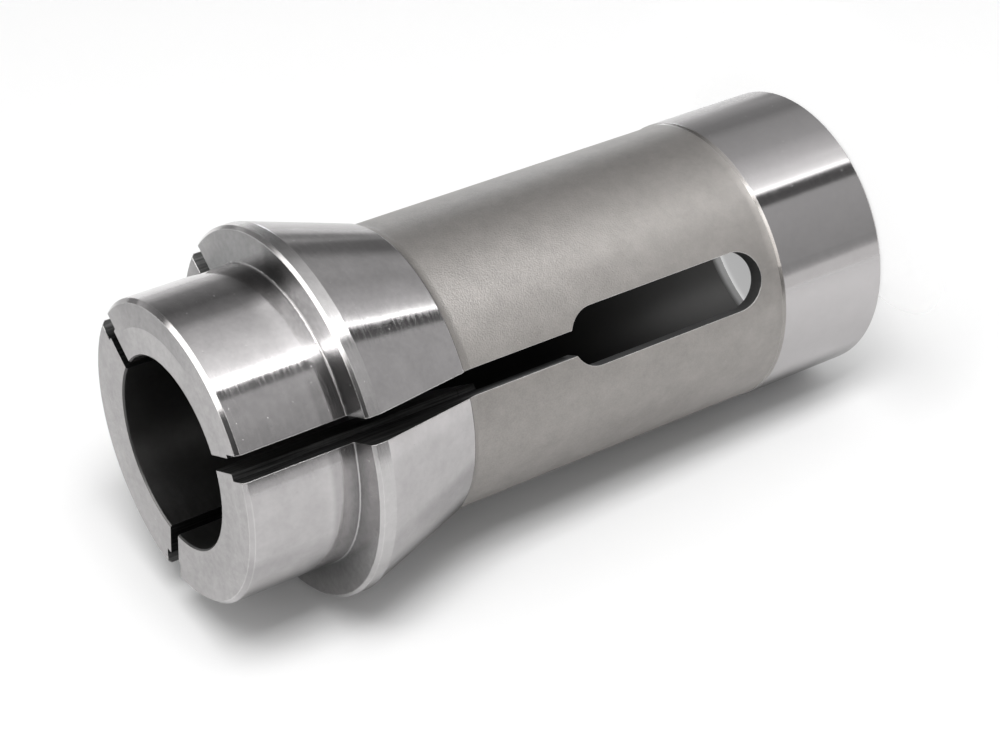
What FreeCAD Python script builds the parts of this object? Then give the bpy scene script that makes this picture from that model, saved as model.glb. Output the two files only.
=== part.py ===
# Push-type lathe collet, turned, slotted and ground from one piece of spring steel.
# Millimetres. The collet stands on its rear face: the origin is the centre of
# that face and +Z runs along the axis to the nose.

import FreeCAD, Part
import math
import os

# Lengths along the axis
overall_length = 95.0
nose_length = 14.5
head_rim_length = 2.0
guide_length = 16.5
gripping_bore_length = 28.5

# Outside: the ground guide at the rear, the head and the nose
guide_d = 38.0
head_d = 47.4
nose_d = 38.2

# The body is turned this much below the guide, and the cone starts above it
body_relief = 0.2
cone_root_rise = 0.55

# Closing cone of the head, measured from the axis to its surface
cone_half_angle = 17.5

# Bores: the grip as it stands open, and the wider bore that the wall leaves
gripping_bore_d = 24.2
body_wall = 2.2
lead_in_half_angle = 45.0

# Edge breaks, fillets, and the flat rim that the collet stands on
nose_chamfer = 0.5
head_chamfer = 0.4
grip_edge_break = 0.2
rear_chamfer = 0.5
rear_rim_width = 0.4
rear_bore_chamfer_length = 2.5
nose_root_fillet = 0.2
cone_root_fillet = 2.0
guide_root_fillet = 5.0

# Slots, each an outer groove with a narrower cut through its floor to the bore.
# The groove is just deep enough to open right through the body's thin wall.
slot_count = 3
groove_width = 3.2
groove_overcut = 0.1
inner_cut_width = 1.9
inner_cut_offsets = (0.2, 0.0, 0.25)

# Window that each slot runs into, a long hole with full-round ends
window_width = 7.6
window_length = 29.3
guide_to_window = 3.2

# How far a cutting shape runs past the surface that it opens
overrun = 1.0

# Sizes that follow from the ones above
body_d = guide_d - 2 * body_relief
cone_small_d = body_d + 2 * cone_root_rise
relief_bore_d = body_d - 2 * body_wall
window_rear_end = guide_length + guide_to_window
window_front_end = window_rear_end + window_length


def vec(x, y, z):
    return FreeCAD.Vector(x, y, z)


def profile_point(radius, height):
    """A point of the turned profile, in the XZ plane."""
    return vec(radius, 0, height)


def concave_arc(body_radius, edge_radius, edge_height, fillet_radius, toward):
    """Arc that leaves the body tangent to it and climbs to an edge.

    toward is +1 where the edge lies nearer the nose than the body, -1 where
    it lies nearer the rear. Returns the start on the body and the arc.
    """
    rise = edge_radius - body_radius
    run = math.sqrt(2 * fillet_radius * rise - rise ** 2)
    start_height = edge_height - toward * run
    half_turn = math.asin(run / fillet_radius) / 2
    start = profile_point(body_radius, start_height)
    middle = profile_point(body_radius + fillet_radius * (1 - math.cos(half_turn)),
                           start_height + toward * fillet_radius * math.sin(half_turn))
    end = profile_point(edge_radius, edge_height)
    return start, end, Part.Arc(start, middle, end).toShape()


def root_fillet(corner_radius, corner_height, fillet_radius):
    """Quarter arc between the nose cylinder and the flat shoulder."""
    above = profile_point(corner_radius, corner_height + fillet_radius)
    beside = profile_point(corner_radius + fillet_radius, corner_height)
    reach = fillet_radius * (1 - math.sqrt(0.5))
    middle = profile_point(corner_radius + reach, corner_height + reach)
    return above, beside, Part.Arc(above, middle, beside).toShape()


def line(start, end):
    return Part.LineSegment(start, end).toShape()


def lead_in_length():
    """Axial length of the cone that leads a bar from the wide bore to the grip."""
    step = (relief_bore_d - gripping_bore_d) / 2
    return step / math.tan(math.radians(lead_in_half_angle))


def turned_blank():
    """The collet before slotting: its outside and its stepped bore."""
    shoulder_height = overall_length - nose_length
    cone_start_height = shoulder_height - head_rim_length
    cone_drop = (head_d - cone_small_d) / 2
    cone_end_height = cone_start_height - cone_drop / math.tan(math.radians(cone_half_angle))
    grip_end_height = overall_length - gripping_bore_length
    relief_end_height = grip_end_height - lead_in_length()

    body_front, cone_root, front_arc = concave_arc(
        body_d / 2, cone_small_d / 2, cone_end_height, cone_root_fillet, 1)
    body_rear, guide_edge, rear_arc = concave_arc(
        body_d / 2, guide_d / 2, guide_length, guide_root_fillet, -1)
    nose_root, shoulder_root, nose_arc = root_fillet(
        nose_d / 2, shoulder_height, nose_root_fillet)

    rim_outer_radius = guide_d / 2 - rear_chamfer
    rim_inner_radius = rim_outer_radius - rear_rim_width
    rear_inner = profile_point(rim_inner_radius, 0)
    rear_outer = profile_point(rim_outer_radius, 0)
    guide_start = profile_point(guide_d / 2, rear_chamfer)
    cone_top = profile_point(head_d / 2, cone_start_height)
    rim_top = profile_point(head_d / 2, shoulder_height - head_chamfer)
    shoulder_edge = profile_point(head_d / 2 - head_chamfer, shoulder_height)
    nose_edge = profile_point(nose_d / 2, overall_length - nose_chamfer)
    face_outer = profile_point(nose_d / 2 - nose_chamfer, overall_length)
    face_inner = profile_point(gripping_bore_d / 2 + grip_edge_break, overall_length)
    grip_top = profile_point(gripping_bore_d / 2, overall_length - grip_edge_break)
    grip_end = profile_point(gripping_bore_d / 2, grip_end_height)
    relief_top = profile_point(relief_bore_d / 2, relief_end_height)
    relief_bottom = profile_point(relief_bore_d / 2, rear_bore_chamfer_length)

    edges = [
        line(rear_inner, rear_outer),
        line(rear_outer, guide_start),
        line(guide_start, guide_edge),
        rear_arc,
        line(body_rear, body_front),
        front_arc,
        line(cone_root, cone_top),
        line(cone_top, rim_top),
        line(rim_top, shoulder_edge),
        line(shoulder_edge, shoulder_root),
        nose_arc,
        line(nose_root, nose_edge),
        line(nose_edge, face_outer),
        line(face_outer, face_inner),
        line(face_inner, grip_top),
        line(grip_top, grip_end),
        line(grip_end, relief_top),
        line(relief_top, relief_bottom),
        line(relief_bottom, rear_inner),
    ]
    profile = Part.Face(Part.Wire(edges))
    return profile.revolve(vec(0, 0, 0), vec(0, 0, 1), 360)


def long_hole(width, rear_end, front_end, inner_reach, outer_reach):
    """Radial cutter along +X with full-round ends."""
    half = width / 2
    rear_centre = rear_end + half
    front_centre = front_end - half
    edges = [
        line(vec(inner_reach, -half, rear_centre), vec(inner_reach, -half, front_centre)),
        Part.Arc(vec(inner_reach, -half, front_centre),
                 vec(inner_reach, 0, front_end),
                 vec(inner_reach, half, front_centre)).toShape(),
        line(vec(inner_reach, half, front_centre), vec(inner_reach, half, rear_centre)),
        Part.Arc(vec(inner_reach, half, rear_centre),
                 vec(inner_reach, 0, rear_end),
                 vec(inner_reach, -half, rear_centre)).toShape(),
    ]
    outline = Part.Face(Part.Wire(edges))
    return outline.extrude(vec(outer_reach - inner_reach, 0, 0))


def slot_cutter(inner_cut_offset):
    """One slot lying in the +X half plane: window, outer groove and inner cut."""
    outer_reach = head_d / 2 + overrun
    top = overall_length + overrun
    wall_opening = math.sqrt((relief_bore_d / 2) ** 2 - (groove_width / 2) ** 2)
    groove_floor_distance = wall_opening - groove_overcut
    window = long_hole(window_width, window_rear_end, window_front_end,
                       gripping_bore_d / 2, outer_reach)
    groove_start = window_front_end - window_width / 2
    groove = Part.makeBox(outer_reach - groove_floor_distance, groove_width, top - groove_start,
                          vec(groove_floor_distance, -groove_width / 2, groove_start))
    cut_start = overall_length - gripping_bore_length - lead_in_length() - overrun
    inner_start = gripping_bore_d / 2 - overrun
    inner_cut = Part.makeBox(groove_floor_distance - inner_start + overrun, inner_cut_width,
                             top - cut_start,
                             vec(inner_start, inner_cut_offset - inner_cut_width / 2, cut_start))
    return window.fuse([groove, inner_cut])


def collet():
    """The finished collet, its slots set evenly round the axis."""
    body = turned_blank()
    for index in range(slot_count):
        cutter = slot_cutter(inner_cut_offsets[index])
        cutter.rotate(vec(0, 0, 0), vec(0, 0, 1), index * 360 / slot_count)
        body = body.cut(cutter)
    return body.Solids[0]


os.makedirs("parts", exist_ok=True)
collet().exportStep("parts/collet_body.step")
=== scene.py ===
import math
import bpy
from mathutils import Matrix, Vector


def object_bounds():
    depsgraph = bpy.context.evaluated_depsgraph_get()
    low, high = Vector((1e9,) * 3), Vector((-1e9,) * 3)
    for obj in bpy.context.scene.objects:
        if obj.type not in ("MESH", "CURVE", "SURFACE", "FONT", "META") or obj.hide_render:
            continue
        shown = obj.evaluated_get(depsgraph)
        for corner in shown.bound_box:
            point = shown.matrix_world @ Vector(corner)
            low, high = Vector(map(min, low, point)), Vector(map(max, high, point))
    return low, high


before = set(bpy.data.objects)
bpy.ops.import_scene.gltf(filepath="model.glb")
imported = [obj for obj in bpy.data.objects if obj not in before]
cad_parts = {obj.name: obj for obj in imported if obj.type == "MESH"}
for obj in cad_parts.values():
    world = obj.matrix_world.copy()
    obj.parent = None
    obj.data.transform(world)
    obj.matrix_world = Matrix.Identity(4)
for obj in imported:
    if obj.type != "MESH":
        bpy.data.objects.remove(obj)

from types import SimpleNamespace

import bpy
from mathutils import Matrix, Vector

# Lathe collet of ground and blasted spring steel. It stands on its rear face at the
# origin with its nose up +Z. The picture's camera is rolled, so that there it seems
# to lie on a table. Objects and lamps are placed in metres, the steel's finishes are
# laid out in millimetres, and angles are in degrees. A pair of limits says where a
# change begins and where it is complete. A third number says that they are the two
# ends of a band, and how soft these are.

CAD_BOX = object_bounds()

# The picture's camera, as it is seen from the middle of the collet
CAMERA_AIM = Vector((0.000275, -0.005192, 0.049447))
CAMERA_DISTANCE = 0.30995
CAMERA_AZIMUTH = 104.661
CAMERA_ELEVATION = 28.292
CAMERA_ROLL = 110.714
CAMERA_LENS = 87.65
SENSOR_WIDTH = 36.0
CLIP_START = 0.01
CLIP_END = 10

# The table that the collet seems to lie on touches the head, which is the collet's
# widest part, and the rear rim
HEAD_RADIUS = -CAD_BOX[0][0]
REAR_RADIUS = 0.0190
HEAD_TOUCH = 0.0799
TABLE_AZIMUTH = 61.2
TABLE_HALF_SIDE = 0.3
TABLE_SHIFT = 0.03
FLOOR_HALF_SIDE = 0.1
STAGE_GAP = 0.0001

# The lamp over the table's front
LAMP_WIDTH = 0.17
LAMP_LENGTH = 0.28
LAMP_POWER = 1.43
LAMP_DISTANCE = 0.45
LAMP_TO_FRONT = 0.32
LAMP_TO_NOSE = 0.24

# Heights and radii in millimetres at which the steel's finish changes
GUIDE_TOP = 16.5
GUIDE_ROOT = 17.0
WINDOW_TOP = 49.5
GRIP_BOTTOM = 64.0
CONE_ROOT = 64.5
RIM_BOTTOM = 78.5
SHOULDER = 80.5
FACE_STEP = 15.6
REAR_CHAMFER = (16.62, 17.5)
GROOVE_FLOOR = 17.8
BORE_RADIUS = 18.3
SHOULDER_RADII = (19.3, 23.2)
GROOVE_DEPTHS = (GROOVE_FLOOR - 1, GROOVE_FLOOR + 1)
END_FACES = SHOULDER - 0.2
ABOVE_SHOULDER = SHOULDER + 5
# The dark line at the cone's root, painted shade in the small step there, and how soft the edges
# of the finishes are
SEAM_WIDTH = 0.15
FINISH_EDGE = 0.05
GUIDE_ROOT_EDGE = 0.1
WINDOW_EDGE = 0.3
# The nose's root, with a painted reflection of the shoulder and a ring of painted shade
ROOT_START = SHOULDER + 0.3
ROOT_FADE = (86.0, 82.6)
ROOT_RING = (82.5, 84.0, 0.5)
# The bore behind the grip is painted darker further up, as shade inside the collet
BORE_DEPTH = (38.0, 2.0)
# A darker part of the slot at +x, from this x outwards
DARK_SLOT_HEIGHTS = (CONE_ROOT - 4, CONE_ROOT + 2)
DARK_SLOT_START = 10
# The patterns are fainter low on the collet, down to a share
CRISP_HEIGHTS = (15, 62)
LEAST_CRISP = 0.3

# Edges are slightly rounded, in metres
EDGE_ROUNDING = 0.00016
ROUNDING_SAMPLES = 4
MILLIMETRE = 0.001

# Azimuths of the seeming top and of the place that mirrors the strip light, and the
# cosines of the angles from them at which the end faces' painted light and shade change
TOP_AZIMUTH = 74.5
TOP_NEARNESS = (0.75, 1.0)
LIT_AZIMUTH = 39.5
LIT_NEARNESS = (0.945, 0.985)
FLANK_NEARNESS = (0.87, 0.95, 0.02)
FLANK_SHARE = 0.8

# Parts of a surface's direction, outwards or up, that tell the finishes apart
FACES_UP = 0.8
FACES_LEVEL = 0.9
FACES_OUT = 0.45
FACES_INWARDS = -0.5
EDGE_FACES = -0.4
# Cosines between the rounded and the flat direction, from plain to worn edges, which carry a
# painted highlight
WORN_BEND = (0.99, 0.93)

# Colours of the steel
GROUND_STEEL = (0.605, 0.587, 0.59, 1)
BLASTED_STEEL = (0.443, 0.422, 0.405, 1)
RIM_STEEL = (0.66, 0.645, 0.645, 1)
# The grip and the rear bore are painted dark, as shade inside the collet
GRIP_PAINTED_SHADE = (0.13, 0.128, 0.127, 1)
REAR_BORE_PAINTED_SHADE = (0.072, 0.071, 0.07, 1)
# Worn edges: real wear, painted near white as a highlight of the strip light
WORN_GLINT_STEEL = (0.95, 0.94, 0.93, 1)
# The shoulder's edge and the nose's face: their tones towards the seeming top are painted light
# and shade; the face's two rings are real
SHOULDER_EDGE = (0.51, 0.50, 0.50, 1)
SHOULDER_EDGE_TOP = (0.405, 0.40, 0.40, 1)
OUTER_FACE = (0.55, 0.534, 0.534, 1)
OUTER_FACE_TOP = (0.435, 0.425, 0.425, 1)
INNER_FACE = (0.525, 0.51, 0.51, 1)
INNER_FACE_TOP = (0.60, 0.585, 0.585, 1)

# Tones of the slots' walls, between their streaks and in them, painted dark as shade
DEEP_SHADE_TONES = (0.012, 0.05)
GROOVE_SHADE_TONES = (0.14, 0.30)
DARK_SLOT_TONES = (0.02, 0.10)
WINDOW_SHADE_TONE = 0.15
# Painted shade: tones of the bore, and of the shoulder's root, low and at the seeming top
BORE_SHADE_TONE = 0.012
CHAMFER_TONE = 0.38
SHOULDER_ROOT_SHADE_TONES = (0.28, 0.37)
# Tones of the shoulder where it shows a painted reflection of the strip light, at its root
# and edge, and of the painted dark flanks beside that
PAINTED_STRIP_TONES = (0.50, 0.66)
PAINTED_FLANK_TONE = 0.23

# How fine the drawn-out patterns are along x, y and z, per millimetre, and those of
# the end faces outwards and across
RING_FINENESS = (0.18, 0.18, 6.0)
FACE_RING_FINENESS = (6.0, 0.15)
DRAG_FINENESS = (4.0, 4.0, 0.12)
STREAKS = (0.35, 0.75)
# Noise: how fine it is, per millimetre, its detail and its roughness
LINES = (1.0, 3.0, 0.6)
GRAIN = (4.6, 1.5, 0.6)
BLOTCHES = (0.35, 4.0, 0.55)
SMALL_BLOTCHES = (1.3, 3.0, 0.6)
SPECK_FINENESS = 0.6
SPECK_RADII = (0.03, 0.06)

# How far the noise reaches from its middle, and how much it changes the tone
WIDE_REACH = 0.2
NARROW_REACH = 0.15
MOTTLE = 0.06
FACE_MOTTLE = 0.05
PATCHES = 0.06
SMALL_PATCHES = 0.035
# The plain tone's brightness, and what the seam's painted shade, the painted reflection and shade
# at the nose's root, and the worn edges' painted highlight do to it
PLAIN_SHADE = 0.99
SEAM_SHADE = -0.45
ROOT_RING_PAINTED_SHADE = 0.76
WORN_GLINT_SHARE = 0.8

# Roughness of ground steel and of the turned end faces, with their rings
GROUND_ROUGHNESS = 0.10
RING_ROUGHNESS = 0.045
FACE_ROUGHNESS = 0.24
FACE_RING_ROUGHNESS = 0.02
WORN_ROUGHNESS = 0.3
# What the other finishes add to it
BLASTED_ROUGHER = 0.36
RIM_ROUGHER = 0.07
BORE_ROUGHER = 0.30
CUT_ROUGHER = 0.65
GUIDE_ROOT_ROUGHER = -0.22
SPECK_ROUGHER = 0.1

# Heights of the relief in millimetres
RING_HEIGHT = 0.004
GRAIN_HEIGHT = 0.042
BLOTCH_HEIGHT = 0.004
SPECK_HEIGHT = -0.01

# Painted reflection: the nose's root's brightness where it mirrors the shoulder, by the
# azimuth from the first angle (0) to the second (1); then the azimuths where the ring of painted
# shade begins
ROOT_ANGLES = (40, 100)
ROOT_RING_ANGLES = (24, 17)
PAINTED_ROOT_BANDS = (
    (0.00, 1.15), (0.12, 1.25), (0.23, 1.6), (0.30, 1.2), (0.367, 0.55), (0.42, 0.42),
    (0.63, 0.36), (0.68, 0.50), (0.74, 0.92), (0.82, 1.5), (0.92, 1.5), (1.00, 1.0),
)

# The studio above the table, by the turn round the collet from the table's front
# edge (0) over the top (0.5) to its back edge (1): front wall, black edge, strip
# light that fades backwards, and the dark gap behind it. Each is a place and its
# brightness, for what the nose, the guide and the cone mirror.
NOSE_BANDS = (
    (0.00, 0.095), (0.03, 0.10), (0.14, 0.165), (0.20, 0.20), (0.30, 0.235),
    (0.352, 0.235), (0.362, 0.10), (0.40, 0.08), (0.41, 3.0), (0.43, 3.0), (0.448, 0.80),
    (0.48, 0.60), (0.50, 0.54), (0.53, 0.50), (0.60, 0.38), (0.69, 0.27), (0.745, 0.12),
    (0.83, 0.06), (0.90, 0.09), (0.95, 0.13), (1.00, 0.28),
)
GUIDE_BANDS = (
    (0.00, 0.16), (0.06, 0.17), (0.13, 0.19), (0.30, 0.225), (0.347, 0.225),
    (0.356, 0.05), (0.411, 0.035), (0.420, 1.4), (0.428, 1.1), (0.44, 0.68), (0.47, 0.52),
    (0.53, 0.36), (0.62, 0.23), (0.76, 0.18), (0.82, 0.12), (0.88, 0.13), (1.00, 0.24),
)
CONE_BANDS = (
    (0.00, 0.22), (0.25, 0.235), (0.410, 0.24), (0.423, 0.06), (0.489, 0.035),
    (0.498, 2.6), (0.505, 1.5), (0.514, 0.64), (0.531, 0.50), (0.545, 0.39), (0.56, 0.34),
    (0.58, 0.32), (0.60, 0.275), (0.70, 0.185), (0.766, 0.205), (0.827, 0.18),
    (0.872, 0.08), (0.97, 0.07), (1.00, 0.13),
)
# The table beyond the collet, from just behind it (0) to far away (1)
FAR_TABLE_BANDS = ((0.00, 0.24), (0.31, 0.37), (0.57, 0.50), (0.84, 0.74), (1.00, 0.90))

# Heights in the studio, from straight down (-1) over level (0) to straight up (1),
# at which what the nose mirrors turns into what the guide and the cone mirror
NOSE_TO_GUIDE = (-0.40, -0.55)
GUIDE_TO_CONE = (-0.63, -0.67)
# Turns at which the front wall ends and the far table begins
FRONT_WALL_END = 0.352
TABLE_BACK_EDGE = 0.9
# The table's horizon, as a height above its plane
HORIZON = (-0.02, 0.025)
# How much the horizon shifts from what the nose mirrors to what the guide mirrors
BEND_BEHIND = (0.0, -0.06)
BEND_IN_FRONT = (0.05, -0.04)

# The glow level with the collet: where it begins and brightens, and its heights
GLOW_START = (0.05, 0.14)
GLOW_RISE = (0.20, 0.34)
GLOW_HEIGHTS = (-0.26, 0.14, 0.06)
# The dark above it, never quite black
DARK_HEIGHTS = (0.15, 0.30)
DARK_SHARE = 0.75
# The panel high over the nose
PANEL_HEIGHTS = (0.52, 0.66)
PANEL_START = (0.375, 0.415)
PANEL_END = (0.82, 0.89)
# The low light at the back
BACK_GLOW_START = (0.86, 0.98)
BACK_GLOW_HEIGHTS = (-0.515, -0.465, 0.02)
# Angles from the table's upright between which the far table lies, its two dark
# gaps, and the heights at which the near table changes
FAR_TABLE_ANGLES = (86, 124)
LOW_GAP_HEIGHTS = (-0.57, -0.61)
LOW_GAP_ANGLES = (95, 89)
LOW_GAP_TONE = 0.13
HIGH_GAP_HEIGHTS = (0.0, 0.40, 0.06)
HIGH_GAP_ANGLES = (128, 118)
HIGH_GAP_TONE = 0.12
LOW_TABLE_HEIGHTS = (-0.42, -0.52)
# How bright the studio is in the steel, and the even light that the table gets
STUDIO_STRENGTH = 2.0
EVEN_TONE = 0.45


def grey(level):
    return (level, level, level, 1)


WHITE = grey(1)
BLACK = grey(0)
GLOW_COLOUR = (1.0, 0.985, 0.97, 1)
BRIGHT_GLOW = grey(1.6)
BACK_GLOW = (2.3, 2.4, 2.5, 1)
PANEL_COLOUR = (1.3, 1.29, 1.27, 1)
NEAR_TABLE_COLOUR = grey(0.30)
LOW_TABLE_COLOUR = (0.38, 0.379, 0.376, 1)


class Graph:
    """A node tree, with a short call for each kind of node that is used here."""

    def __init__(self, tree):
        self.tree = tree
        tree.nodes.clear()

    def node(self, kind, **settings):
        made = self.tree.nodes.new(kind)
        for name, value in settings.items():
            setattr(made, name, value)
        return made

    def feed(self, socket, value):
        if isinstance(value, bpy.types.NodeSocket):
            self.tree.links.new(value, socket)
        else:
            socket.default_value = value

    def feed_all(self, node, values):
        for socket, value in zip(node.inputs, values):
            self.feed(socket, value)

    def math(self, operation, *values):
        made = self.node("ShaderNodeMath", operation=operation)
        self.feed_all(made, values)
        return made.outputs[0]

    def product(self, first, *others):
        for other in others:
            first = self.math("MULTIPLY", first, other)
        return first

    def total(self, first, *others):
        for other in others:
            first = self.math("ADD", first, other)
        return first

    def more(self, value, limit):
        return self.math("GREATER_THAN", value, limit)

    def less(self, value, limit):
        return self.math("LESS_THAN", value, limit)

    def rest(self, share):
        """What is left of 1."""
        return self.math("SUBTRACT", 1.0, share)

    def length(self, x, y):
        return self.math("SQRT", self.total(self.product(x, x), self.product(y, y)))

    def along(self, x, y, direction):
        """How far x and y reach in a level direction."""
        return self.total(self.product(x, direction[0]), self.product(y, direction[1]))

    def vector(self, operation, *values):
        made = self.node("ShaderNodeVectorMath", operation=operation)
        self.feed_all(made, values)
        return made.outputs["Value" if operation == "DOT_PRODUCT" else "Vector"]

    def parts(self, vector):
        made = self.node("ShaderNodeSeparateXYZ")
        self.feed(made.inputs[0], vector)
        return made.outputs[0], made.outputs[1], made.outputs[2]

    def joined(self, x, y, z):
        made = self.node("ShaderNodeCombineXYZ")
        self.feed_all(made, (x, y, z))
        return made.outputs[0]

    def flat_parts(self):
        """x and y in a flat object's own frame."""
        return self.parts(self.node("ShaderNodeTexCoord").outputs["Object"])[:2]

    def ramp(self, value, stops):
        """Grey level against value, 0 to 1."""
        made = self.node("ShaderNodeValToRGB")
        steps = made.color_ramp.elements
        steps[0].position = stops[0][0]
        steps[1].position = stops[-1][0]
        for place, level in stops[1:-1]:
            steps.new(place)
        for step, (place, level) in zip(steps, stops):
            step.color = grey(level)
        self.feed(made.inputs[0], value)
        return made.outputs["Color"]

    def between(self, value, low, high, start=0.0, end=1.0, kind="SMOOTHSTEP"):
        """start where value is low, end where it is high, smooth in between."""
        made = self.node("ShaderNodeMapRange", interpolation_type=kind)
        self.feed_all(made, (value, low, high, start, end))
        return made.outputs["Result"]

    def fade(self, value, low, high):
        """1 where value is low, 0 where it is high."""
        return self.between(value, low, high, 1.0, 0.0)

    def band(self, value, low, high, soft):
        """1 between low and high, with soft edges."""
        return self.product(self.between(value, low - soft, low + soft),
                            self.fade(value, high - soft, high + soft))

    def angle_band(self, angle, start, end, kind="SMOOTHSTEP"):
        """between, for an angle in radians and its limits in degrees."""
        return self.between(angle, math.radians(start), math.radians(end), kind=kind)

    def sway(self, pattern, reach, amount):
        """A pattern round 0.5 made into one round 0: its reach becomes the amount."""
        return self.between(pattern, 0.5 - reach, 0.5 + reach, -amount, amount, "LINEAR")

    def mix(self, share, first, second):
        made = self.node("ShaderNodeMix", data_type="RGBA")
        for name, value in (("Factor", share), ("A", first), ("B", second)):
            socket = next(s for s in made.inputs if s.name == name and s.enabled)
            self.feed(socket, value)
        return next(s for s in made.outputs if s.enabled)

    def tones(self, share, tones):
        """Grey from the first tone to the second."""
        return self.mix(share, grey(tones[0]), grey(tones[1]))

    def noise(self, place, scale, detail, rough):
        made = self.node("ShaderNodeTexNoise")
        self.feed(made.inputs["Vector"], place)
        made.inputs["Scale"].default_value = scale
        made.inputs["Detail"].default_value = detail
        made.inputs["Roughness"].default_value = rough
        return made.outputs["Fac"]

    def cells(self, place, scale):
        """Distance to the nearest of many scattered points."""
        made = self.node("ShaderNodeTexVoronoi")
        self.feed(made.inputs["Vector"], place)
        made.inputs["Scale"].default_value = scale
        return made.outputs["Distance"]

    def bump(self, height, distance, normal):
        made = self.node("ShaderNodeBump")
        made.inputs["Distance"].default_value = distance
        self.feed(made.inputs["Height"], height)
        self.feed(made.inputs["Normal"], normal)
        return made.outputs["Normal"]

    def shader_mix(self, share, first, second):
        made = self.node("ShaderNodeMixShader")
        self.feed_all(made, (share, first, second))
        return made.outputs[0]

    def background(self, colour, strength=1.0):
        made = self.node("ShaderNodeBackground")
        self.feed(made.inputs["Color"], colour)
        made.inputs["Strength"].default_value = strength
        return made.outputs[0]

    def after_diffuse(self, paths):
        """1 for light that meets this after a dull surface."""
        return self.more(paths.outputs["Diffuse Depth"], 0.5)


def level_direction(azimuth):
    angle = math.radians(azimuth)
    return math.cos(angle), math.sin(angle)


def table_normal():
    """Unit vector from the table to the collet, square to the picture's right."""
    tilt = math.atan((HEAD_RADIUS - REAR_RADIUS) / HEAD_TOUCH)
    x, y = level_direction(TABLE_AZIMUTH)
    level = math.cos(tilt)
    return Vector((x * level, y * level, math.sin(tilt)))


def link(thing):
    bpy.context.scene.collection.objects.link(thing)


def new_material(name):
    material = bpy.data.materials.new(name)
    material.use_nodes = True
    return material, Graph(material.node_tree)


def show(graph, shader, kind="ShaderNodeOutputMaterial"):
    graph.feed(graph.node(kind).inputs["Surface"], shader)


def make_camera():
    azimuth = math.radians(CAMERA_AZIMUTH)
    elevation = math.radians(CAMERA_ELEVATION)
    back = Vector((math.sin(azimuth) * math.cos(elevation),
                   -math.cos(azimuth) * math.cos(elevation),
                   math.sin(elevation)))
    level_right = Vector((0, 0, 1)).cross(back).normalized()
    level_up = back.cross(level_right)
    roll = math.radians(CAMERA_ROLL)
    right = level_right * math.cos(roll) - level_up * math.sin(roll)
    up = level_right * math.sin(roll) + level_up * math.cos(roll)
    data = bpy.data.cameras.new("camera")
    data.sensor_width = SENSOR_WIDTH
    data.lens = CAMERA_LENS
    data.clip_start = CLIP_START
    data.clip_end = CLIP_END
    camera = bpy.data.objects.new("camera", data)
    turn = Matrix((right, up, back)).transposed().to_4x4()
    camera.matrix_world = Matrix.Translation(CAMERA_AIM + back * CAMERA_DISTANCE) @ turn
    link(camera)
    bpy.context.scene.camera = camera


def studio_colour(graph, z, turn, in_front):
    """What stands round the table, by height and by the turn round the collet."""
    bands = graph.mix(graph.between(z, *NOSE_TO_GUIDE),
                      graph.ramp(turn, NOSE_BANDS), graph.ramp(turn, GUIDE_BANDS))
    bands = graph.mix(graph.between(z, *GUIDE_TO_CONE), bands, graph.ramp(turn, CONE_BANDS))

    # A glow level with the collet, for fillets and rounded edges, and dark above it
    glow = graph.mix(graph.between(turn, *GLOW_RISE), GLOW_COLOUR, BRIGHT_GLOW)
    level = graph.band(z, *GLOW_HEIGHTS)
    front_glow = graph.product(in_front, level, graph.between(turn, *GLOW_START))
    studio = graph.mix(front_glow, bands, glow)
    above = graph.between(z, *DARK_HEIGHTS, 0.0, DARK_SHARE)
    studio = graph.mix(graph.product(in_front, above), studio, BLACK)

    # A panel high over the nose
    high = graph.between(z, *PANEL_HEIGHTS)
    wide = graph.product(graph.between(turn, *PANEL_START), graph.fade(turn, *PANEL_END))
    return graph.mix(graph.product(high, wide), studio, PANEL_COLOUR)


def mirrored_table_colour(graph, z, turn, angle):
    """The table beyond its edges, by height and by the turn round the collet."""
    behind = graph.angle_band(angle, *FAR_TABLE_ANGLES, "LINEAR")
    far_table = graph.ramp(behind, FAR_TABLE_BANDS)
    low_gap = graph.product(graph.between(z, *LOW_GAP_HEIGHTS),
                            graph.angle_band(angle, *LOW_GAP_ANGLES))
    far_table = graph.mix(low_gap, far_table, grey(LOW_GAP_TONE))
    high_gap = graph.product(graph.band(z, *HIGH_GAP_HEIGHTS),
                             graph.angle_band(angle, *HIGH_GAP_ANGLES))
    far_table = graph.mix(high_gap, far_table, grey(HIGH_GAP_TONE))
    low = graph.between(z, *LOW_TABLE_HEIGHTS)
    near_table = graph.mix(low, NEAR_TABLE_COLOUR, LOW_TABLE_COLOUR)
    return graph.mix(graph.more(turn, TABLE_BACK_EDGE), near_table, far_table)


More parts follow.
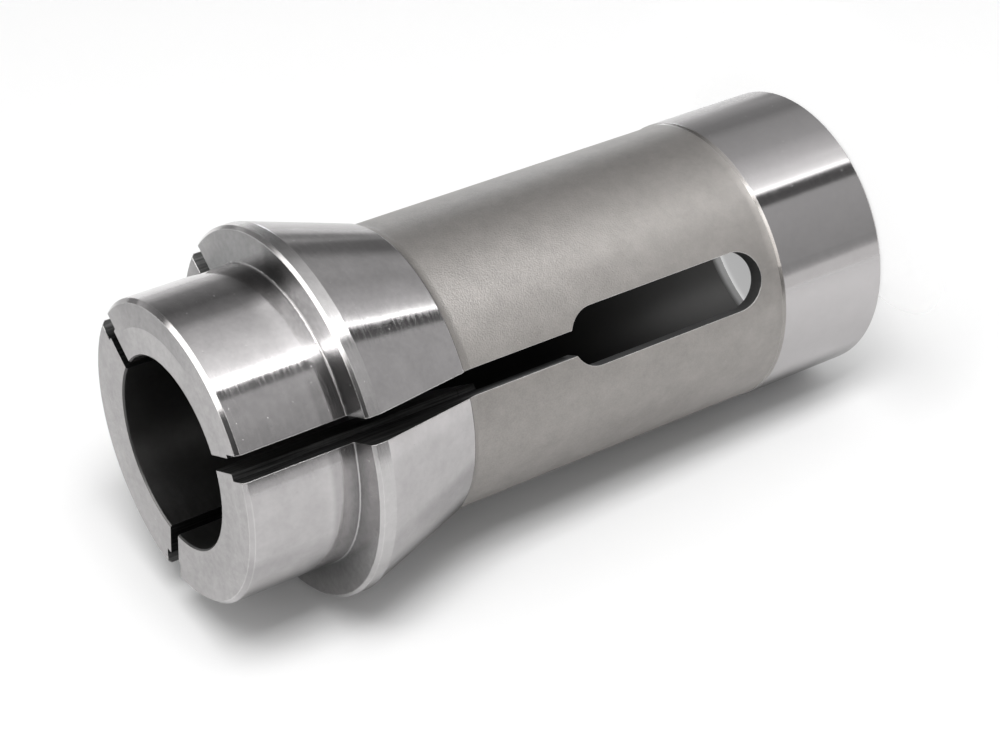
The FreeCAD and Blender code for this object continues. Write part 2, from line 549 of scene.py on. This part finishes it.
def light_world():
    """A soft studio round the seeming table, plain white where the camera sees it."""
    world = bpy.data.worlds.new("studio")
    bpy.context.scene.world = world
    world.use_nodes = True
    graph = Graph(world.node_tree)
    direction = graph.node("ShaderNodeTexCoord").outputs["Generated"]
    x, y, z = graph.parts(direction)
    over_x, over_y = level_direction(TABLE_AZIMUTH)
    angle = graph.math("ARCTAN2", graph.along(x, y, (-over_y, over_x)),
                       graph.along(x, y, (over_x, over_y)))
    turn = graph.angle_band(angle, -90, 90, "LINEAR")
    in_front = graph.less(turn, FRONT_WALL_END)

    # The table hides what is below its horizon
    lift = graph.vector("DOT_PRODUCT", direction, tuple(table_normal()))
    bend = graph.mix(in_front, graph.between(z, *NOSE_TO_GUIDE, *BEND_BEHIND),
                     graph.between(z, *NOSE_TO_GUIDE, *BEND_IN_FRONT))
    above_table = graph.between(graph.total(lift, bend), *HORIZON)
    seen = graph.mix(above_table, mirrored_table_colour(graph, z, turn, angle),
                     studio_colour(graph, z, turn, in_front))

    # A low light at the back, which only the blasted body mirrors
    at_back = graph.product(graph.between(turn, *BACK_GLOW_START),
                            graph.band(z, *BACK_GLOW_HEIGHTS))
    seen = graph.mix(at_back, seen, BACK_GLOW)

    paths = graph.node("ShaderNodeLightPath")
    on_steel = graph.shader_mix(graph.after_diffuse(paths),
                                graph.background(seen, STUDIO_STRENGTH),
                                graph.background(grey(EVEN_TONE)))
    shown = graph.shader_mix(paths.outputs["Is Camera Ray"], on_steel, graph.background(WHITE))
    show(graph, shown, "ShaderNodeOutputWorld")


def light_table():
    """A broad lamp over the table's front, which the steel doesn't mirror."""
    data = bpy.data.lights.new("overhead", "AREA")
    data.shape = "RECTANGLE"
    data.size = LAMP_WIDTH
    data.size_y = LAMP_LENGTH
    data.energy = LAMP_POWER
    lamp = bpy.data.objects.new("overhead", data)
    up = table_normal()
    nose_up = Vector((0, 0, 1))
    front = up.cross(nose_up).normalized()
    toward = (up + front * LAMP_TO_FRONT + nose_up * LAMP_TO_NOSE).normalized()
    turn = toward.to_track_quat("Z", "Y").to_matrix().to_4x4()
    lamp.matrix_world = Matrix.Translation(CAMERA_AIM + toward * LAMP_DISTANCE) @ turn
    lamp.visible_glossy = False
    link(lamp)


def flat_square(name, matrix, material):
    mesh = bpy.data.meshes.new(name)
    mesh.from_pydata([(-1, -1, 0), (1, -1, 0), (1, 1, 0), (-1, 1, 0)], [], [(0, 1, 2, 3)])
    mesh.materials.append(material)
    square = bpy.data.objects.new(name, mesh)
    square.matrix_world = matrix
    link(square)


# Painted light and shade on the table as the steel mirrors it, with the places where they
# change. The table's half side is 1, x runs towards the nose and y to the picture's front.
MIDDLE_TONES = (0.66, 0.77)
MIDDLE_CHANGE = (-0.12, -0.30)
FAR_SIDE = (-0.15, -0.28)
FAR_SIDE_TONES = (0.78, 0.96)
NOSE_SLANT = -0.69
BEHIND_NOSE = (0.14, 0.20)
FAR_NOSE_TONE = 0.55
FAR_NOSE = (0.08, 0.15)
UNDER_HEAD = (0.015, 0.045)
SHADE_TONES = (0.51, 0.57)
SHADE_STARTS = (0.015, 0.046)
SHADE_SOFT = (-0.01, 0.01)
SHADE_END = (0.078, 0.098)
SHADE_ALONG = (-0.12, -0.08)
STRIP_TONE = 0.80
STRIP = (0.012, 0.034, 0.008)
DULL_TABLE_TONE = 0.25
SHOWN_TABLE_TONE = 0.94
TABLE_FADE = (0.70, 1.0)


def mirrored_tones(graph, x, y):
    """How pale the table is in the steel: painted light and shade."""
    tone = graph.tones(graph.between(x, *MIDDLE_CHANGE), MIDDLE_TONES)

    # The far side, painted paler
    behind_nose = graph.between(graph.along(x, y, (1, NOSE_SLANT)), *BEHIND_NOSE)
    far_side = graph.tones(behind_nose, FAR_SIDE_TONES)
    far_side = graph.mix(graph.between(x, *FAR_NOSE), far_side, grey(FAR_NOSE_TONE))
    tone = graph.mix(graph.between(y, *FAR_SIDE), tone, far_side)

    # The painted shade in front of the collet, which begins further out under the head
    under_head = graph.between(x, *UNDER_HEAD)
    shade_start = graph.between(under_head, 0.0, 1.0, *SHADE_STARTS)
    past_start = graph.math("SUBTRACT", y, shade_start)
    shade = graph.product(graph.between(past_start, *SHADE_SOFT),
                          graph.fade(y, *SHADE_END), graph.between(x, *SHADE_ALONG))
    tone = graph.mix(shade, tone, graph.tones(under_head, SHADE_TONES))
    # A painted strip of light under the head
    painted_light_strip = graph.product(under_head, graph.band(y, *STRIP))
    return graph.mix(painted_light_strip, tone, grey(STRIP_TONE))


def table_material():
    """Pale and shaded near the collet, clear away from it and from behind."""
    material, graph = new_material("pale table")
    paths = graph.node("ShaderNodeLightPath")
    x, y = graph.flat_parts()
    mirrored = graph.mix(graph.after_diffuse(paths), mirrored_tones(graph, x, y),
                         grey(DULL_TABLE_TONE))
    shown = graph.mix(paths.outputs["Is Camera Ray"], mirrored, grey(SHOWN_TABLE_TONE))
    shaded = graph.node("ShaderNodeBsdfDiffuse")
    graph.feed(shaded.inputs["Color"], shown)
    clear = graph.node("ShaderNodeBsdfTransparent").outputs[0]
    far_out = graph.between(graph.length(x, y), *TABLE_FADE)
    near = graph.shader_mix(far_out, shaded.outputs[0], clear)
    back = graph.node("ShaderNodeNewGeometry").outputs["Backfacing"]
    show(graph, graph.shader_mix(back, near, clear))
    return material


def make_table():
    """The pale table that the collet seems to lie on in the picture."""
    up = table_normal()
    outward = -Vector((up.x, up.y, 0)).normalized()
    touch = outward * HEAD_RADIUS + Vector((0, 0, HEAD_TOUCH))
    along = Vector((0, 0, 1))
    along = (along - up * along.dot(up)).normalized()
    turn = Matrix((along, up.cross(along), up)).transposed().to_4x4()
    centre = touch - up * STAGE_GAP - along * TABLE_SHIFT
    place = Matrix.Translation(centre) @ turn @ Matrix.Scale(TABLE_HALF_SIDE, 4)
    flat_square("table", place, table_material())


# The floor, whose half side is 1: pale, with a darker disc of painted shade under the collet,
# which fades beside the collet and ends at a small disc on the table's side
FLOOR_TONE = 1.5
FLOOR_GLOW_SHARE = 0.75
UNDER_RIM = (0.17, 0.19)
UNDER_RIM_SHADE_TONE = 0.55
BESIDE = (0.20, 0.40)
OFF_TABLE = (-0.10, 0.10)
SMALL_DISC = (0.183, 0.186)


def floor_material():
    """Pale floor with a light shadow and a painted darker disc under the collet, clear away from
    the collet and in mirrors.
    """
    material, graph = new_material("pale floor")
    x, y = graph.flat_parts()
    distance = graph.length(x, y)
    shaded = graph.node("ShaderNodeBsdfDiffuse")
    shaded.inputs["Color"].default_value = grey(FLOOR_TONE)
    glow = graph.node("ShaderNodeEmission")
    under_rim = graph.between(distance, *UNDER_RIM)
    graph.feed(glow.inputs["Color"], graph.mix(under_rim, grey(UNDER_RIM_SHADE_TONE), WHITE))
    pale = graph.shader_mix(FLOOR_GLOW_SHARE, shaded.outputs[0], glow.outputs[0])
    clear = graph.node("ShaderNodeBsdfTransparent").outputs[0]
    up = table_normal()
    off_table = graph.between(graph.along(x, y, up), *OFF_TABLE)
    beside = graph.product(graph.fade(distance, *BESIDE), off_table)
    shown = graph.math("MAXIMUM", beside, graph.fade(distance, *SMALL_DISC))
    paths = graph.node("ShaderNodeLightPath")
    seen = graph.product(shown, graph.rest(paths.outputs["Is Glossy Ray"]))
    show(graph, graph.shader_mix(seen, clear, pale))
    return material


def make_floor():
    """The pale floor that the collet stands on."""
    place = Matrix.Translation((0, 0, -STAGE_GAP)) @ Matrix.Scale(FLOOR_HALF_SIDE, 4)
    flat_square("floor", place, floor_material())


def steel_places(graph):
    """Where a point lies, in millimetres, and which way its surface looks."""
    coordinates = graph.node("ShaderNodeTexCoord")
    place = graph.vector("DIVIDE", coordinates.outputs["Object"], (MILLIMETRE,) * 3)
    x, y, z = graph.parts(place)
    radius = graph.length(x, y)
    facing_x, facing_y, facing_up = graph.parts(coordinates.outputs["Normal"])
    reach = graph.total(graph.product(x, facing_x), graph.product(y, facing_y))
    return SimpleNamespace(
        place=place, x=x, y=y, z=z, radius=radius, facing_up=facing_up,
        outward=graph.math("DIVIDE", reach, radius),
        azimuth=graph.math("ARCTAN2", y, x),
    )


def nearness(graph, at, azimuth):
    """Cosine of the angle round the collet between a point and the azimuth."""
    reach = graph.along(at.x, at.y, level_direction(azimuth))
    return graph.math("DIVIDE", reach, at.radius)


def steel_zones(graph, at):
    """Where each finish lies, 1 inside its zone and 0 outside."""
    end_face = graph.product(graph.more(at.facing_up, FACES_UP),
                             graph.more(at.z, END_FACES))
    inside = graph.product(graph.less(at.radius, BORE_RADIUS),
                           graph.less(at.outward, FACES_INWARDS))
    steep = graph.less(graph.math("ABSOLUTE", at.facing_up), FACES_LEVEL)
    sideways = graph.less(graph.math("ABSOLUTE", at.outward), FACES_OUT)
    slot_wall = graph.product(sideways, graph.total(steep, graph.less(at.z, END_FACES)))
    facing_out = graph.more(at.outward, FACES_OUT)
    slot_floor = graph.product(facing_out, graph.less(at.radius, GROOVE_FLOOR))
    cut = graph.math("MINIMUM", graph.total(slot_wall, slot_floor), 1.0)
    outer = graph.product(facing_out, graph.rest(slot_floor))
    blasted = graph.product(outer, graph.band(at.z, GUIDE_TOP, CONE_ROOT, FINISH_EDGE))
    return SimpleNamespace(
        end_face=end_face, inside=inside, cut=cut, outer=outer, blasted=blasted,
        guide_root=graph.product(outer, graph.band(at.z, GUIDE_TOP, GUIDE_ROOT, GUIDE_ROOT_EDGE)),
        rim=graph.product(outer, graph.band(at.z, RIM_BOTTOM, SHOULDER, FINISH_EDGE)),
        seam=graph.product(
            facing_out, graph.band(at.z, CONE_ROOT, CONE_ROOT + SEAM_WIDTH, FINISH_EDGE)),
        wide_bore=graph.product(inside, graph.less(at.z, GRIP_BOTTOM)),
        window=graph.product(cut, graph.band(at.z, GUIDE_TOP, WINDOW_TOP, WINDOW_EDGE)),
        crisp=graph.between(at.z, *CRISP_HEIGHTS, LEAST_CRISP, 1.0),
    )


def worn_glinting_edges(graph, at, rounded):
    """Edges polished by use, where the rounded normal leaves the flat one; their pale colour is
    partly a painted highlight of the strip light.
    """
    flat = graph.node("ShaderNodeNewGeometry").outputs["Normal"]
    bent = graph.between(graph.vector("DOT_PRODUCT", rounded, flat), *WORN_BEND)
    return graph.product(bent, graph.more(at.radius, GROOVE_FLOOR),
                         graph.more(at.outward, EDGE_FACES))


def steel_patterns(graph, at, zone):
    """Rings from grinding, blasted grain, soft blotches, drag marks and specks."""
    rings = graph.noise(graph.vector("MULTIPLY", at.place, RING_FINENESS), *LINES)
    out, across = FACE_RING_FINENESS
    face_place = graph.joined(graph.product(at.radius, out), graph.product(at.x, across),
                              graph.product(at.y, across))
    face_rings = graph.noise(face_place, *LINES)
    drag = graph.noise(graph.vector("MULTIPLY", at.place, DRAG_FINENESS), *LINES)
    return SimpleNamespace(
        rings=graph.mix(zone.end_face, rings, face_rings),
        grain=graph.noise(at.place, *GRAIN),
        blotches=graph.noise(at.place, *BLOTCHES),
        small_blotches=graph.noise(at.place, *SMALL_BLOTCHES),
        streaks=graph.between(drag, *STREAKS),
        specks=graph.fade(graph.cells(at.place, SPECK_FINENESS), *SPECK_RADII),
    )


def end_face_colour(graph, at):
    """The nose's face in two rings, and the shoulder, with painted light and shade: tones change
    towards the seeming top, the shoulder is painted darker at its root, and it carries a painted
    reflection of the strip light with painted dark flanks beside it.
    """
    at_top = graph.between(nearness(graph, at, TOP_AZIMUTH), *TOP_NEARNESS)
    outer_face = graph.mix(at_top, OUTER_FACE, OUTER_FACE_TOP)
    inner_face = graph.mix(at_top, INNER_FACE, INNER_FACE_TOP)
    face = graph.mix(graph.less(at.radius, FACE_STEP), outer_face, inner_face)

    out = graph.between(at.radius, *SHOULDER_RADII)
    shoulder = graph.mix(out, graph.tones(at_top, SHOULDER_ROOT_SHADE_TONES),
                         graph.mix(at_top, SHOULDER_EDGE, SHOULDER_EDGE_TOP))
    to_light = nearness(graph, at, LIT_AZIMUTH)
    flank = graph.product(graph.band(to_light, *FLANK_NEARNESS), FLANK_SHARE)
    shoulder = graph.mix(flank, shoulder, grey(PAINTED_FLANK_TONE))
    lit = graph.tones(out, PAINTED_STRIP_TONES)
    shoulder = graph.mix(graph.between(to_light, *LIT_NEARNESS), shoulder, lit)
    return graph.mix(graph.less(at.z, ABOVE_SHOULDER), face, shoulder)


def cut_colour(graph, at, zone, pattern):
    """The slots' walls, painted dark as shade: darkest deep inside, paler in the groove, darker
    still in the slot at +x near the cone's root, and mid dark in the windows.
    """
    groove = graph.between(at.radius, *GROOVE_DEPTHS)
    walls = graph.mix(groove, graph.tones(pattern.streaks, DEEP_SHADE_TONES),
                      graph.tones(pattern.streaks, GROOVE_SHADE_TONES))
    dark_slot = graph.product(graph.between(at.z, *DARK_SLOT_HEIGHTS),
                            graph.more(at.x, DARK_SLOT_START))
    walls = graph.mix(dark_slot, walls, graph.tones(pattern.streaks, DARK_SLOT_TONES))
    return graph.mix(zone.window, walls, grey(WINDOW_SHADE_TONE))


def bore_painted_shade(graph, at, zone):
    """Painted shade in the bore: the grip dark, the bore behind it darker further up, and the
    chamfer at the rear paler.
    """
    depth = graph.between(at.z, *BORE_DEPTH)
    behind_grip = graph.mix(depth, grey(BORE_SHADE_TONE), REAR_BORE_PAINTED_SHADE)
    chamfer = graph.between(at.radius, *REAR_CHAMFER)
    behind_grip = graph.mix(chamfer, behind_grip, grey(CHAMFER_TONE))
    return graph.mix(zone.wide_bore, GRIP_PAINTED_SHADE, behind_grip)


def painted_root_reflection(graph, at, zone):
    """Painted reflection of the shoulder on the nose close to it, and a soft ring of painted
    shade at its root.
    """
    root = graph.product(zone.outer, graph.more(at.z, ROOT_START),
                         graph.between(at.z, *ROOT_FADE))
    around = graph.angle_band(at.azimuth, *ROOT_ANGLES, "LINEAR")
    shade = graph.mix(root, WHITE, graph.ramp(around, PAINTED_ROOT_BANDS))
    ring = graph.product(zone.outer, graph.band(at.z, *ROOT_RING),
                         graph.angle_band(at.azimuth, *ROOT_RING_ANGLES))
    return graph.product(shade, graph.mix(ring, WHITE, grey(ROOT_RING_PAINTED_SHADE)))


def steel_colour(graph, at, zone, pattern, worn_glint):
    colour = graph.mix(zone.blasted, GROUND_STEEL, BLASTED_STEEL)
    colour = graph.mix(zone.end_face, colour, end_face_colour(graph, at))
    colour = graph.mix(zone.rim, colour, RIM_STEEL)
    # Painted shade in the bore and the slots
    colour = graph.mix(zone.inside, colour, bore_painted_shade(graph, at, zone))
    colour = graph.mix(zone.cut, colour, cut_colour(graph, at, zone, pattern))
    # Worn edges: real wear, with a painted highlight in their pale colour
    colour = graph.mix(graph.product(worn_glint, WORN_GLINT_SHARE), colour, WORN_GLINT_STEEL)

    mottle = graph.total(
        graph.product(zone.blasted, graph.sway(pattern.grain, WIDE_REACH, MOTTLE)),
        graph.product(zone.end_face,
                      graph.sway(pattern.small_blotches, NARROW_REACH, FACE_MOTTLE)))
    patches = graph.total(graph.sway(pattern.blotches, WIDE_REACH, PATCHES),
                          graph.sway(pattern.small_blotches, WIDE_REACH, SMALL_PATCHES))
    strength = graph.math("MAXIMUM", zone.blasted, zone.crisp)
    # The seam term is painted shade in the small step at the cone's root
    shade = graph.total(PLAIN_SHADE, graph.product(mottle, zone.crisp),
                        graph.product(patches, strength),
                        graph.product(zone.seam, SEAM_SHADE))
    # Painted reflection and painted shade at the nose's root
    shade = graph.product(shade, painted_root_reflection(graph, at, zone))
    return graph.vector("MULTIPLY", colour, graph.joined(shade, shade, shade))


def steel_roughness(graph, zone, pattern, worn_glint):
    ringed = graph.product(graph.sway(pattern.rings, NARROW_REACH, RING_ROUGHNESS),
                           zone.crisp, graph.rest(zone.blasted))
    ringed = graph.total(GROUND_ROUGHNESS, ringed)
    faced = graph.sway(pattern.rings, WIDE_REACH, FACE_RING_ROUGHNESS)
    faced = graph.total(FACE_ROUGHNESS, faced)
    rough = graph.total(graph.mix(zone.end_face, ringed, faced),
                        graph.product(zone.blasted, BLASTED_ROUGHER),
                        graph.product(zone.rim, RIM_ROUGHER),
                        graph.product(zone.inside, BORE_ROUGHER),
                        graph.product(zone.cut, CUT_ROUGHER),
                        graph.product(zone.guide_root, GUIDE_ROOT_ROUGHER),
                        graph.product(pattern.specks, SPECK_ROUGHER))
    limit = graph.between(worn_glint, 0.0, 1.0, 1.0, WORN_ROUGHNESS)
    return graph.math("MINIMUM", rough, limit)


def steel_relief(graph, zone, pattern):
    """Height of the rings, the grain and the small dents, in millimetres."""
    turned = graph.rest(graph.math("MAXIMUM", zone.blasted, zone.cut))
    grained = graph.product(zone.blasted, zone.crisp, graph.rest(zone.guide_root))
    return graph.total(graph.product(pattern.rings, RING_HEIGHT, turned),
                       graph.product(pattern.grain, GRAIN_HEIGHT, grained),
                       graph.product(pattern.blotches, BLOTCH_HEIGHT),
                       graph.product(pattern.specks, SPECK_HEIGHT))


def steel_material():
    """Ground, blasted and cut steel, each where the collet has it, with painted shade in the bore
    and slots, painted reflections on the nose's root and the shoulder, and a painted highlight on
    worn edges.
    """
    material, graph = new_material("ground steel")
    at = steel_places(graph)
    zone = steel_zones(graph, at)
    pattern = steel_patterns(graph, at, zone)
    rounding = graph.node("ShaderNodeBevel", samples=ROUNDING_SAMPLES)
    rounding.inputs["Radius"].default_value = EDGE_ROUNDING
    rounded = rounding.outputs[0]
    worn_glint = worn_glinting_edges(graph, at, rounded)
    steel = graph.node("ShaderNodeBsdfPrincipled")
    steel.inputs["Metallic"].default_value = 1.0
    graph.feed(steel.inputs["Base Color"], steel_colour(graph, at, zone, pattern, worn_glint))
    graph.feed(steel.inputs["Roughness"], steel_roughness(graph, zone, pattern, worn_glint))
    graph.feed(steel.inputs["Normal"],
               graph.bump(steel_relief(graph, zone, pattern), MILLIMETRE, rounded))
    show(graph, steel.outputs[0])
    return material


bpy.context.scene.view_settings.view_transform = "Standard"
make_camera()
light_world()
light_table()
make_table()
make_floor()
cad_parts["collet_body"].data.materials[0] = steel_material()
